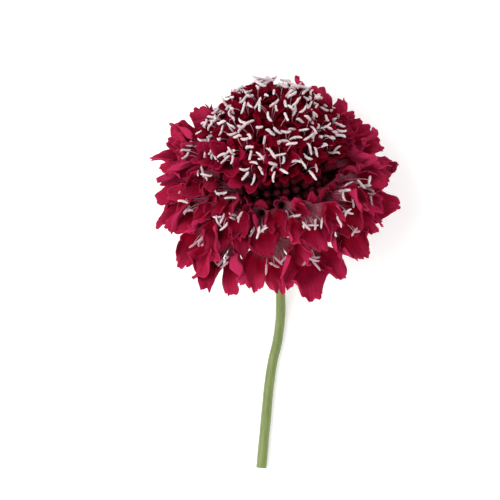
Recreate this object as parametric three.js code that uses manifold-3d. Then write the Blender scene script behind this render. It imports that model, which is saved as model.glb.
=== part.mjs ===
// A cut sweet scabious (Scabiosa atropurpurea) lying on a flat surface: one flower head on a short stem.
// The stem lies along the surface and the head leans back on its lowest petals.
// Units are millimetres, +Z is up, and the surface is z = 0. The stem points towards -Y.
import * as THREE from "three";
import { mergeVertices } from "three/addons/utils/BufferGeometryUtils.js";
import Module from "manifold-3d";

const wasm = await Module();
wasm.setup();

const DEG = Math.PI / 180;

// Where the receptacle's base is, and how the head's axis leans: up from the surface, and to the left.
const HEAD_BASE = new THREE.Vector3(-0.17, 16.2, 18.2);
const HEAD_RISE = 38 * DEG;
const HEAD_LEAN = 4.5 * DEG;

// The receptacle is the core that every floret grows from: an ovoid with a flat base.
const RECEPTACLE_RADIUS = 6.3;
const RECEPTACLE_HEIGHT = 15;
const RECEPTACLE_BASE_RADIUS = 4.6;
const RECEPTACLE_MIDDLE = 7;

const SEAT_GAP = 0.3; // between a piece and what carries it
const PETAL = 0.5; // thickness of a corolla's wall

// The two rows of large florets. Tubes rise from the head's level by an angle that grows from its front to its back.
// petalRise says how far the petals point above that level, at seven places from the front to the back.
const OUTER_ROW = {
  name: "outer_floret",
  count: 13,
  turn: 0,
  seatHeight: 2.2,
  tubeLength: 12,
  throatRadius: 1.9,
  scale: 1,
  rise: { front: 13, back: 24 },
  petalRise: [-47, -44, -34, -12, 10, 2, 24],
};
const SECOND_ROW = {
  name: "second_floret",
  count: 13,
  turn: 360 / 26,
  seatHeight: 5.3,
  tubeLength: 11.5,
  throatRadius: 1.7,
  scale: 0.84,
  rise: { front: 27, back: 34.5 },
  petalRise: [-47, -44, -34, -8, 18, 26, 37],
};

// Half of a large floret's spread petals: angle from its outermost petal in degrees, and reach in mm.
const PETAL_OUTLINE = [
  [0, 14.6],
  [9, 14.0],
  [16, 11.8],
  [26, 12.6],
  [38, 11.4],
  [62, 6.0],
  [95, 3.4],
  [128, 4.6],
  [152, 4.4],
  [180, 2.6],
];

// The pincushion: small florets whose throats lie on the upper half of an ellipsoid.
const DOME = { count: 23, radius: 14.5, height: 12, middle: 16, lowest: 72 * DEG };
const DOME_TUBE_RADIUS = 0.75;
const DOME_LIMB = { notch: 1.9, tip: 3.0, rise: 0.9 };
const DOME_THROAT_DEPTH = 1.4;
const STAMENS = { count: 4, reach: 4.6, lean: 20 * DEG, filamentWidth: 0.4, antherLength: 2.6, antherWidth: 0.7 };

// Closed buds sit between the pincushion and the large florets.
const BUDS = { count: 20, reach: 12.1, valley: 11.2 };

const BRACTS = { count: 8, start: 3.3, length: 12.5, halfWidth: 1.55, thickness: 0.6, droop: 12 * DEG };

// The stem's centreline, as offsets from the head's base along X and Y, and heights above the surface.
const STEM_ROUTE = [
  [0.9, -13.2, 7.4],
  [1.0, -19.6, 3.4],
  [1.0, -26.0, 1.5],
  [0.3, -31.8, 1.2],
  [-0.9, -37.0, 1.2],
  [-1.8, -43.0, 1.2],
  [-2.5, -50.5, 1.2],
  [-3.6, -62.4, 1.25],
];
const STEM_RADIUS = { top: 1.05, cut: 1.25 };
const STEM_FLARE = { radius: 1.9, length: 2.6 };

const petalMaterial = new THREE.MeshStandardMaterial({ color: 0x8e1030, roughness: 0.6, metalness: 0 });
const innerPetalMaterial = new THREE.MeshStandardMaterial({ color: 0x6a0a20, roughness: 0.6, metalness: 0 });
const budMaterial = new THREE.MeshStandardMaterial({ color: 0x3a060e, roughness: 0.5, metalness: 0 });
const greenMaterial = new THREE.MeshStandardMaterial({ color: 0x8e9b64, roughness: 0.6, metalness: 0 });
const bractMaterial = new THREE.MeshStandardMaterial({ color: 0x667340, roughness: 0.7, metalness: 0 });

// A closed lathe of the given profile size, with every vertex placed by point(step around, profile index).
function shapedLathe(profileSize, segments, point) {
  const profile = Array.from({ length: profileSize }, (_, j) => new THREE.Vector2(j, j));
  const geometry = new THREE.LatheGeometry(profile, segments);
  const position = geometry.getAttribute("position");
  for (let i = 0; i <= segments; i++)
    for (let j = 0; j < profileSize; j++)
      position.setXYZ(i * profileSize + j, ...point(i % segments, j).toArray());
  geometry.computeVertexNormals();
  return geometry;
}

// A point at an angle round +Z, counted from -Y towards +X.
const polar = (angle, radius, height) =>
  new THREE.Vector3(radius * Math.sin(angle), -radius * Math.cos(angle), height);

const mix = THREE.MathUtils.lerp;

// How far towards the back an azimuth is: 0 at the front, 1 at the back.
const backness = (azimuth) => (1 - Math.cos(azimuth)) / 2;

function receptacle() {
  const profile = [new THREE.Vector2(0, 0), new THREE.Vector2(RECEPTACLE_BASE_RADIUS, 0)];
  const rings = 6;
  const start = Math.acos(RECEPTACLE_BASE_RADIUS / RECEPTACLE_RADIUS);
  for (let k = 1; k < rings; k++) {
    const u = -start + ((start + Math.PI / 2) * k) / rings;
    const height = Math.sin(u) < 0 ? RECEPTACLE_MIDDLE / Math.sin(start) : RECEPTACLE_HEIGHT - RECEPTACLE_MIDDLE;
    profile.push(new THREE.Vector2(RECEPTACLE_RADIUS * Math.cos(u), RECEPTACLE_MIDDLE + height * Math.sin(u)));
  }
  profile.push(new THREE.Vector2(0, RECEPTACLE_HEIGHT));
  const geometry = new THREE.LatheGeometry(profile, 16).rotateX(90 * DEG);
  const mesh = new THREE.Mesh(geometry, budMaterial);
  mesh.name = "receptacle";
  return mesh;
}

// The receptacle's radius at a height, where a floret is seated.
function receptacleRadius(height) {
  const half = height < RECEPTACLE_MIDDLE
    ? RECEPTACLE_MIDDLE / Math.sqrt(1 - (RECEPTACLE_BASE_RADIUS / RECEPTACLE_RADIUS) ** 2)
    : RECEPTACLE_HEIGHT - RECEPTACLE_MIDDLE;
  return RECEPTACLE_RADIUS * Math.sqrt(1 - ((height - RECEPTACLE_MIDDLE) / half) ** 2);
}

// The whole outline of a floret's limb, as [angle, reach] pairs once round from the outermost petal.
function limbOutline(scale) {
  const half = PETAL_OUTLINE.map(([angle, reach]) => [angle * DEG, reach * scale]);
  const mirrored = half.slice(1, -1).reverse().map(([angle, reach]) => [-angle, reach]);
  return [...half, ...mirrored];
}

// A large floret: a closed tube along +Z that opens into five petals, the longest towards -Y.
// lean is how far its outer petals tip forward out of the limb's plane.
function largeCorolla(row, seatRadius, rise, lean) {
  const outline = limbOutline(row.scale);
  const sector = Math.PI / row.count;
  const upperLean = 25 * DEG;
  const funnel = 3.2;
  // Wall sections from the outside of the tube's foot, over the petals' edge, to the inside.
  const sections = [
    { radius: 0, height: 0 },
    { radius: 0.8, height: 0 },
    { radius: 1.15, height: row.tubeLength - funnel },
    { spread: 0, side: -1 },
    { spread: 0.5, side: -1 },
    { spread: 1, side: -0.6 },
    { spread: 1, side: 0.6 },
    { spread: 0.5, side: 1 },
    { spread: 0, side: 1 },
    { radius: 0, height: row.tubeLength - funnel },
  ];
  const inSector = (p) => {
    const distance = seatRadius + p.z * Math.cos(rise) - p.y * Math.sin(rise);
    const room = distance * Math.tan(sector) - SEAT_GAP * 0.75;
    p.x = THREE.MathUtils.clamp(p.x, -room, room);
    return p;
  };
  return shapedLathe(sections.length, outline.length, (i, j) => {
    const [angle, reach] = outline[i];
    const section = sections[j];
    if (section.spread === undefined) return polar(angle, section.radius, section.height);
    const outward = (1 + Math.cos(angle)) / 2;
    const tip = mix(upperLean, lean, outward ** 1.5);
    const along = section.spread * (reach - row.throatRadius);
    const across = (section.side * PETAL) / 2;
    const radius = row.throatRadius + along * Math.cos(tip) - across * Math.sin(tip);
    const height = row.tubeLength + along * Math.sin(tip) + across * Math.cos(tip);
    return inSector(polar(angle, radius, height));
  });
}

function petalRise(row, azimuth) {
  const table = row.petalRise;
  const place = (Math.acos(Math.cos(azimuth)) / Math.PI) * (table.length - 1);
  const low = Math.floor(place);
  const high = Math.min(low + 1, table.length - 1);
  return mix(table[low], table[high], place - low) * DEG;
}

function largeFloret(row, index) {
  const azimuth = ((360 / row.count) * index + row.turn) * DEG;
  const rise = mix(row.rise.front, row.rise.back, backness(azimuth)) * DEG;
  const seatRadius = receptacleRadius(row.seatHeight) + SEAT_GAP + 0.8 * Math.sin(rise);
  const lean = petalRise(row, azimuth) - rise + 90 * DEG;
  const mesh = new THREE.Mesh(largeCorolla(row, seatRadius, rise, lean), petalMaterial);
  mesh.name = `${row.name}_${String(index + 1).padStart(2, "0")}`;
  mesh.position.set(0, -seatRadius, row.seatHeight);
  mesh.rotation.x = 90 * DEG - rise;
  const holder = new THREE.Group();
  holder.rotation.z = azimuth;
  holder.add(mesh);
  return holder;
}

// A three.js geometry as a manifold-3d solid.
function solidOf(geometry) {
  const bare = new THREE.BufferGeometry().setAttribute("position", geometry.getAttribute("position"));
  bare.setIndex(geometry.getIndex());
  const merged = mergeVertices(bare, 1e-4);
  return new wasm.Manifold(
    new wasm.Mesh({
      numProp: 3,
      vertProperties: merged.getAttribute("position").array,
      triVerts: new Uint32Array(merged.getIndex().array),
    }),
  );
}

// The geometries joined in one solid.
function joined(geometries) {
  const whole = geometries.map(solidOf).reduce((sum, solid) => sum.add(solid)).getMesh();
  const geometry = new THREE.BufferGeometry();
  geometry.setAttribute("position", new THREE.BufferAttribute(new Float32Array(whole.vertProperties), 3));
  geometry.setIndex(new THREE.BufferAttribute(new Uint32Array(whole.triVerts), 1));
  geometry.computeVertexNormals();
  return geometry;
}

// One stamen, leaning outwards from the throat's floor: a filament with its anther across the end.
function stamen(index, foot) {
  const { count, reach, lean, filamentWidth, antherLength, antherWidth } = STAMENS;
  const length = DOME_THROAT_DEPTH + reach;
  const outline = new THREE.Shape();
  outline.moveTo(-filamentWidth / 2, -SEAT_GAP);
  outline.lineTo(filamentWidth / 2, -SEAT_GAP);
  outline.lineTo(filamentWidth / 2, length - antherWidth);
  outline.lineTo(antherLength / 2, length - antherWidth);
  outline.lineTo(antherLength / 2, length);
  outline.lineTo(-antherLength / 2, length);
  outline.lineTo(-antherLength / 2, length - antherWidth);
  outline.lineTo(-filamentWidth / 2, length - antherWidth);
  outline.closePath();
  const geometry = new THREE.ExtrudeGeometry(outline, { depth: filamentWidth, bevelEnabled: false });
  geometry.translate(0, 0, -filamentWidth / 2);
  geometry.rotateX(90 * DEG + lean);
  return geometry.rotateZ(((index + 0.5) * 2 * Math.PI) / count).translate(0, 0, foot);
}

// A small floret: a tube along +Z with five short petals round a shallow throat.
function smallCorolla(length) {
  const sections = [
    { radius: 0, height: 0 },
    { radius: DOME_TUBE_RADIUS * 0.8, height: 0 },
    { radius: DOME_TUBE_RADIUS, height: length - 2 },
    { limb: true },
    { radius: 0, height: length - DOME_THROAT_DEPTH },
  ];
  return shapedLathe(sections.length, 10, (i, j) => {
    const angle = (i * Math.PI) / 5;
    const { limb, radius, height } = sections[j];
    if (!limb) return polar(angle, radius, height);
    const tip = i % 2 === 0;
    return polar(angle, tip ? DOME_LIMB.tip : DOME_LIMB.notch, length + (tip ? DOME_LIMB.rise : 0));
  });
}

// The pincushion's florets follow a golden-angle spiral down from the top.
function domeFloret(index) {
  const share = (index + 0.5) / DOME.count;
  const polarAngle = Math.acos(1 - share * (1 - Math.cos(DOME.lowest)));
  const azimuth = index * Math.PI * (3 - Math.sqrt(5));
  const throat = polar(azimuth, DOME.radius * Math.sin(polarAngle), DOME.middle + DOME.height * Math.cos(polarAngle));
  const seat = polar(
    azimuth,
    RECEPTACLE_RADIUS * Math.sin(polarAngle),
    RECEPTACLE_MIDDLE + (RECEPTACLE_HEIGHT - RECEPTACLE_MIDDLE) * Math.cos(polarAngle),
  );
  const direction = throat.clone().sub(seat).normalize();
  seat.addScaledVector(direction, SEAT_GAP * 1.8);
  const length = throat.distanceTo(seat);
  const stamens = Array.from({ length: STAMENS.count }, (_, k) => stamen(k, length - DOME_THROAT_DEPTH));
  const mesh = new THREE.Mesh(joined([smallCorolla(length), ...stamens]), innerPetalMaterial);
  mesh.name = `dome_floret_${String(index + 1).padStart(2, "0")}`;
  mesh.position.copy(seat);
  mesh.quaternion.setFromUnitVectors(new THREE.Vector3(0, 0, 1), direction);
  return mesh;
}

// The ring of closed buds, joined at their feet: its outer edge goes in and out once a bud.
function budRing() {
  const inner = receptacleRadius(RECEPTACLE_MIDDLE) + SEAT_GAP;
  const section = [
    [inner, 6.7],
    [10.2, 9.2],
    ["edge", 10.2],
    ["edge", 12.0],
    [10.2, 12.6],
    [inner, 8.2],
    [inner, 6.7],
  ];
  const geometry = shapedLathe(section.length, BUDS.count * 2, (i, j) => {
    const [radius, height] = section[j];
    const edge = i % 2 === 0 ? BUDS.reach : BUDS.valley;
    return polar((i * Math.PI) / BUDS.count, radius === "edge" ? edge : radius, height);
  });
  const mesh = new THREE.Mesh(geometry, budMaterial);
  mesh.name = "bud_ring";
  return mesh;
}

// A narrow pointed bract under the receptacle, drooping a little outwards.
function bract(index) {
  const { start, length, halfWidth, thickness, droop } = BRACTS;
  const outline = new THREE.Shape();
  outline.moveTo(-0.8, 0);
  outline.quadraticCurveTo(-halfWidth * 1.4, -length * 0.4, 0, -length);
  outline.quadraticCurveTo(halfWidth * 1.4, -length * 0.4, 0.8, 0);
  outline.closePath();
  const geometry = new THREE.ExtrudeGeometry(outline, { depth: thickness, bevelEnabled: false, curveSegments: 5 });
  const mesh = new THREE.Mesh(geometry, bractMaterial);
  mesh.name = `bract_${String(index + 1).padStart(2, "0")}`;
  mesh.position.set(0, -start, -SEAT_GAP - thickness);
  mesh.rotation.x = droop;
  const holder = new THREE.Group();
  holder.rotation.z = (index + 0.5) * ((2 * Math.PI) / BRACTS.count);
  holder.add(mesh);
  return holder;
}

// The head: everything that grows from the receptacle, with its axis along +Z.
function flowerHead() {
  const head = new THREE.Group();
  head.add(receptacle(), budRing());
  for (const row of [OUTER_ROW, SECOND_ROW])
    for (let k = 0; k < row.count; k++) head.add(largeFloret(row, k));
  for (let k = 0; k < DOME.count; k++) head.add(domeFloret(k));
  for (let k = 0; k < BRACTS.count; k++) head.add(bract(k));
  head.rotation.set(HEAD_RISE - 90 * DEG, 0, HEAD_LEAN, "ZXY");
  head.position.copy(HEAD_BASE);
  head.updateMatrixWorld(true);
  return head;
}

// The stem runs from the receptacle's base down to the surface and along it, a little thicker at its cut end.
function stem(head) {
  const top = head.localToWorld(new THREE.Vector3(0, 0, -SEAT_GAP));
  const neck = head.localToWorld(new THREE.Vector3(0, 0, -6));
  const route = STEM_ROUTE.map(([x, y, z]) => new THREE.Vector3(HEAD_BASE.x + x, HEAD_BASE.y + y, z));
  const path = new THREE.CatmullRomCurve3([top, neck, ...route]);
  const steps = 26;
  const length = path.getLength();
  const frames = path.computeFrenetFrames(steps);
  const geometry = shapedLathe(steps + 3, 10, (i, j) => {
    const step = THREE.MathUtils.clamp(j - 1, 0, steps);
    const centre = path.getPointAt(step / steps);
    if (j === 0 || j === steps + 2) return centre;
    const along = (length * step) / steps;
    const flare = Math.max(0, 1 - along / STEM_FLARE.length);
    const radius = mix(STEM_RADIUS.top, STEM_RADIUS.cut, step / steps) + (STEM_FLARE.radius - STEM_RADIUS.top) * flare;
    const angle = (i * Math.PI) / 5;
    return centre
      .addScaledVector(frames.normals[step], radius * Math.cos(angle))
      .addScaledVector(frames.binormals[step], radius * Math.sin(angle));
  });
  const mesh = new THREE.Mesh(geometry, greenMaterial);
  mesh.name = "stem";
  return mesh;
}

const head = flowerHead();
const flower = new THREE.Group();
flower.add(head, stem(head));

export default flower;
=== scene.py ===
"""A cut sweet scabious lying on a pale floor, seen from straight above. Lengths are in mm until a mesh is made."""
import random
from math import acos, cos, pi, radians, sin, sqrt

import bpy
import numpy as np
from mathutils import Matrix, Vector


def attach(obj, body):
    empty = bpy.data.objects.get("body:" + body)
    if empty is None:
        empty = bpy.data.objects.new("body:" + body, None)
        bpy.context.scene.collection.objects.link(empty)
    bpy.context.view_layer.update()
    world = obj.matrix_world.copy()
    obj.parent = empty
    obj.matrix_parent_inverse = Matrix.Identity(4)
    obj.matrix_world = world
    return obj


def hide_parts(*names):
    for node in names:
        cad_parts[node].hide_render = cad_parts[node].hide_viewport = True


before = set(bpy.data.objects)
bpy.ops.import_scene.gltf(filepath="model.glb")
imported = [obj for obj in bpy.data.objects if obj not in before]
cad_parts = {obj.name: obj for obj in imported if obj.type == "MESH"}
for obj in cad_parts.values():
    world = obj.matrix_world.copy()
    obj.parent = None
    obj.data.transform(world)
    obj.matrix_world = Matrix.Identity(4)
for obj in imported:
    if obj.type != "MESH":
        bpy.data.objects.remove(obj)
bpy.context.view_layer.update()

MM = 0.001
BODY = "root"
UP = np.array([0, 0, 1.0])
ROUND = 2 * pi
ANY_PHASE = (0, 6.28)

# The head's place and lean, and the sizes that its pieces share with the CAD model.
HEAD_BASE = Vector((-0.17, 16.2, 18.2))
HEAD_RISE = radians(38)
HEAD_LEAN = radians(4.5)
HEAD = (
    Matrix.Translation(HEAD_BASE)
    @ Matrix.Rotation(HEAD_LEAN, 4, "Z")
    @ Matrix.Rotation(HEAD_RISE - pi / 2, 4, "X")
)

RECEPTACLE = {"radius": 6.3, "height": 15.0, "base_radius": 4.6, "middle": 7.0}
SEAT_GAP = 0.3
PETAL_THICKNESS = 0.16
BRACT_THICKNESS = 0.35

# Nothing is lower than the first value. Petals lower than the reach are pressed softly against the floor.
LOWEST = 0.01
FLOOR_CLEARANCE = PETAL_THICKNESS / 2 + 0.02
FLOOR_SOFTNESS = 0.5
FLOOR_REACH = 3


def floret_row(**values):
    """A row of large florets, as values for the whole row and changes to single florets by their place in it.

    petal_rise says how far the outer petals point above the head's level, in degrees, from the front of the head to
    its back. ears are the length and lean of the two small upper lobes, and dullness is for the anthers.
    A turn moves a floret round the head, a lift raises it, a droop lowers its tube but not its petals, and a roll
    turns it round its own tube. lobes holds changes to single lobes, by place and side: -1 left, 0 middle and
    1 right. Each is a swing sideways and a dip, in degrees, and a growth. tones pick a lit or a shaded copy of the
    petal colours for single florets, which is painted light and shade. bare lists the florets whose stamens have
    dropped, and places lists the florets that are there, where some are left out.
    """
    changes = ("turns", "lifts", "droops", "rolls", "sizes", "ear_sizes", "spikes", "lobes", "tones")
    row = {change: {} for change in changes}
    row["bare"] = ()
    row["places"] = range(values["count"])
    row.update(values)
    return row


OUTER_ROW = floret_row(
    name="outer_floret", count=13, fineness=1.0, turn=0.0, seat_height=2.2, tube_length=12.0, mouth=2.3,
    size=1.0, front_rise=13.0, back_rise=24.0, petal_rise=(-47, -44, -34, -12, 10, 6, 37), ears=(3.4, 62),
    dullness=0.8,
    turns={0: -7, 1: -7, 2: -9, 3: -9, 9: -6, 10: -5, 11: 3, 12: -9},
    lifts={4: -5, 8: 6, 9: 10, 10: 4, 11: -5, 12: -4},
    droops={0: 3, 1: 11, 12: 8},
    rolls={0: 6, 1: -6, 2: -13, 3: 12, 10: 6, 11: 12, 12: 10},
    sizes={0: 0.90, 1: 1.02, 2: 0.86, 3: 0.90, 4: 0.95, 5: 1.15, 9: 1.06, 10: 1.08, 11: 1.02},
    spikes={2: 2.2},
    lobes={
        (0, -1): (17, 0, 1.25), (0, 0): (-8, 0, 0.92), (1, 0): (6, 0, 1.0), (1, 1): (7, 0, 0.93),
        (2, 0): (0, 0, 0.97), (2, 1): (-9, 0, 1.15), (3, -1): (8, 0, 1.0), (3, 0): (9, 0, 1.0),
        (9, -1): (0, 0, 1.1), (9, 0): (-8, 0, 1.0), (9, 1): (10, 50, 1.1), (10, -1): (-14, 0, 1.0),
        (10, 1): (0, 24, 1.25), (11, -1): (8, 0, 1.03), (12, -1): (35, 0, 1.28), (12, 0): (4, 0, 0.95),
        (12, 1): (22, 0, 1.15),
    },
    # Painted light and shade: a lit copy of the petal colours for one floret, shaded copies for others.
    tones={0: "light", 4: "shaded", 5: "shaded"},
    bare=(4, 5),
)
SECOND_ROW = floret_row(
    name="second_floret", count=13, fineness=1.0, turn=360 / 26, seat_height=5.3, tube_length=11.5, mouth=2.1,
    size=0.86, front_rise=27.0, back_rise=34.5, petal_rise=(-47, -44, -34, -8, 18, 26, 37), ears=(4.4, 25),
    dullness=0.15,
    turns={0: 8, 1: 4, 4: -8, 5: -6, 8: -3, 9: -4, 10: 5, 11: 3, 12: -1},
    lifts={5: 6, 8: 8, 9: 12},
    droops={10: 6},
    rolls={5: 8, 8: 6},
    sizes={0: 0.82, 1: 0.92, 4: 1.06, 5: 1.25, 8: 1.12, 11: 0.92, 12: 0.82},
    ear_sizes={1: 0.6, 2: 0.6, 12: 0.7},
    spikes={3: 2.8},
    lobes={
        (0, -1): (-6, 0, 1.05), (3, 1): (0, 0, 1.2), (4, 0): (0, 0, 0.9), (5, 0): (18, 0, 1.03),
        (5, 1): (10, 0, 1.1), (8, -1): (14, 0, 0.93), (12, -1): (28, 0, 1.25), (12, 1): (-6, 0, 1.1),
    },
    # Painted shade: shaded copies of the petal colours for these florets.
    tones=dict.fromkeys((1, 7, 11, 12), "shaded"),
    bare=(3, 4),
)
# Extra florets, smaller, that stand between the ring and the pincushion beside and behind it.
INNER_ROW = floret_row(
    name="inner_floret", count=15, fineness=0.7, turn=0.0, seat_height=7.6, tube_length=9.5, mouth=1.7,
    size=0.62, front_rise=40.0, back_rise=46.0, petal_rise=(-30, -20, -6, 10, 30, 38, 42), ears=(4.4, 40),
    dullness=0.1,
    turns={2: 9, 3: 8},
    droops={2: 18, 12: 4},
    sizes={2: 0.55, 3: 0.9, 10: 1.3, 12: 1.1},
    # Painted shade: shaded copies of the petal colours for these florets.
    tones=dict.fromkeys((2, 3, 4, 5, 12, 13), "shaded"),
    bare=(3, 4),
    places=range(2, 14),
)
# Two more small ones, squeezed in between the front florets of the second row.
FRONT_ROW = floret_row(
    name="front_floret", count=10, fineness=0.8, turn=7.0, seat_height=6.6, tube_length=10.6, mouth=1.6,
    size=0.56, front_rise=30.0, back_rise=30.0, petal_rise=(-44, -40, -30, -10, 10, 20, 30), ears=(3.4, 50),
    dullness=0.4,
    ear_sizes={0: 0.65},
    lobes={(0, 0): (-14, 0, 1.0)},
    # Painted shade: shaded copies of the petal colours for these florets.
    tones={0: "shaded", 9: "shaded"},
    places=(0, 9),
)

DOME = {"nodes": 23, "extra": 29, "radius": 14.5, "height": 12.0, "middle": 16.0, "lowest": radians(72)}
# Florets near the pincushion's rim that have opened wider, by their place in it, with their size.
DOME_RIM = {18: 1.5, 23: 1.35, 26: 1.4, 41: 1.3, 44: 1.45}


# -------- small helpers

def smooth(x):
    x = np.clip(x, 0, 1)
    return x * x * (3 - 2 * x)


def mix(a, b, share):
    return a + (b - a) * share


def unit(v):
    v = np.asarray(v, float)
    return v / np.linalg.norm(v)


def draw(ranges, rng):
    """A random value from each named range, in their order."""
    return {name: rng.uniform(low, high) for name, (low, high) in ranges.items()}


def moved(points, matrix):
    """Points, as an array in mm, moved by a 4 x 4 matrix."""
    m = np.array(matrix)
    return points @ m[:3, :3].T + m[:3, 3]


def above_floor(points):
    """Points that would go through the floor are pressed flat against it, softly."""
    z = points[:, 2] - FLOOR_CLEARANCE
    pressed = 0.5 * (z + np.sqrt(z * z + FLOOR_SOFTNESS**2))
    points[:, 2] = np.where(z < FLOOR_REACH, pressed, z) + FLOOR_CLEARANCE
    return points


def receptacle_radius(height):
    r = RECEPTACLE
    half = r["height"] - r["middle"]
    if height < r["middle"]:
        half = r["middle"] / sqrt(1 - (r["base_radius"] / r["radius"]) ** 2)
    return r["radius"] * sqrt(max(0, 1 - ((height - r["middle"]) / half) ** 2))


def whole_turn(sides):
    """Angles all the way round, for a ring with so many sides."""
    return np.linspace(0, ROUND, sides, endpoint=False)


def outward(angle):
    """The level direction at an angle round the Z axis, counted from the front."""
    return np.array([sin(angle), -cos(angle), 0])


def level_ring(radii, turn, height):
    """A ring of points round the Z axis."""
    return np.stack([radii * np.sin(turn), -radii * np.cos(turn), height + 0 * turn], 1)


def ring_about(centre, first, second, radii, turn):
    """A ring of points round a centre, in the plane of two directions."""
    return centre + (radii * np.cos(turn))[:, None] * first + (radii * np.sin(turn))[:, None] * second


def frame_along(direction, hint=(0.3, 0.5, 0.8)):
    """Two directions square to the given one."""
    direction = unit(direction)
    first = unit(np.cross(direction, hint))
    return first, np.cross(direction, first)


def rings_along(line, tangents, radii, turn, first):
    """Rings round a line that don't twist along it. The first direction says where the first ring starts."""
    rings = []
    for centre, tangent, radius in zip(line, tangents, radii):
        ahead = unit(tangent)
        first = unit(first - ahead * np.dot(first, ahead))
        rings.append(ring_about(centre, first, np.cross(ahead, first), radius, turn))
    return rings


class Shape:
    """Vertices in mm, faces, and for each vertex a mark of three numbers that its material reads."""

    def __init__(self):
        self.points = []
        self.marks = []
        self.faces = []
        self.size = 0

    def add_points(self, points, marks):
        """Adds points, with their marks, and returns their indices."""
        points = np.asarray(points, float).reshape(-1, 3)
        self.points.append(points)
        self.marks.append(np.broadcast_to(np.asarray(marks, float), points.shape))
        first = self.size
        self.size += len(points)
        return np.arange(first, self.size)

    def add_faces(self, rows, closed=False):
        """Quads between rows of vertex indices; closed joins each row's end to its start."""
        for low, high in zip(rows[:-1], rows[1:]):
            if closed:
                low = np.append(low, low[0])
                high = np.append(high, high[0])
            for k in range(len(low) - 1):
                self.faces.append((low[k], low[k + 1], high[k + 1], high[k]))

    def add_tube(self, rings, heights, dullness=0):
        """A closed skin through rings of points. Each ring's height along the piece is its points' second mark."""
        rows = [self.add_points(ring, (0, height, dullness)) for ring, height in zip(rings, heights)]
        self.add_faces(rows, closed=True)
        self.faces.append(tuple(rows[0][::-1]))
        self.faces.append(tuple(rows[-1]))

    def add_shape(self, other, matrix):
        self.points += [moved(points, matrix) for points in other.points]
        self.marks += other.marks
        self.faces += [tuple(i + self.size for i in face) for face in other.faces]
        self.size += other.size

    def move(self, matrix):
        self.points = [moved(points, matrix) for points in self.points]

    def arrays(self):
        return np.concatenate(self.points), np.concatenate(self.marks)


def grid_marks(across, along):
    """Marks for rows of points, from a row of places across and a column of places along."""
    none = 0 * across * along
    return np.stack([across + none, along + none, none], -1)


def vertex_normals(points, faces):
    normals = np.zeros_like(points)
    quads = np.array(faces)
    a, b, c, d = (points[quads[:, k]] for k in range(4))
    face_normals = np.cross(c - a, d - b)
    for k in range(4):
        np.add.at(normals, quads[:, k], face_normals)
    return normals / np.linalg.norm(normals, axis=1, keepdims=True)


def thickened(shape, thickness):
    """A sheet of quads as a closed wall. Its faces look back, and the third mark is 0 in front, 1 at the back."""
    points, marks = shape.arrays()
    offset = vertex_normals(points, shape.faces) * thickness / 2
    front = marks.copy()
    back = marks.copy()
    front[:, 2] = 0
    back[:, 2] = 1
    wall = Shape()
    wall.add_points(points + offset, back)
    wall.add_points(points - offset, front)
    count = len(points)
    wall.faces = list(shape.faces) + [tuple(i + count for i in face[::-1]) for face in shape.faces]
    open_edges = {}
    for face in shape.faces:
        for a, b in zip(face, face[1:] + face[:1]):
            if (b, a) in open_edges:
                del open_edges[(b, a)]
            else:
                open_edges[(a, b)] = True
    for a, b in open_edges:
        wall.faces.append((b, a, a + count, b + count))
    return wall


def mesh_object(name, points, faces, material):
    """A smooth object from points in metres."""
    mesh = bpy.data.meshes.new(name)
    mesh.from_pydata(points, [], faces)
    mesh.polygons.foreach_set("use_smooth", [True] * len(mesh.polygons))
    mesh.materials.append(material)
    made = bpy.data.objects.new(name, mesh)
    bpy.context.scene.collection.objects.link(made)
    return made


def piece(name, shape, material, replaces=()):
    """Makes a shape one object of the scene."""
    points, marks = shape.arrays()
    points[:, 2] = np.maximum(points[:, 2], LOWEST)
    faces = [tuple(int(i) for i in face) for face in shape.faces]
    made = mesh_object(name, (points * MM).tolist(), faces, material)
    attribute = made.data.attributes.new("mark", "FLOAT_VECTOR", "POINT")
    attribute.data.foreach_set("vector", marks.astype(np.float32).ravel())
    made.data.update()
    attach(made, BODY)
    if replaces:
        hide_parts(*replaces)


# -------- materials

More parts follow.
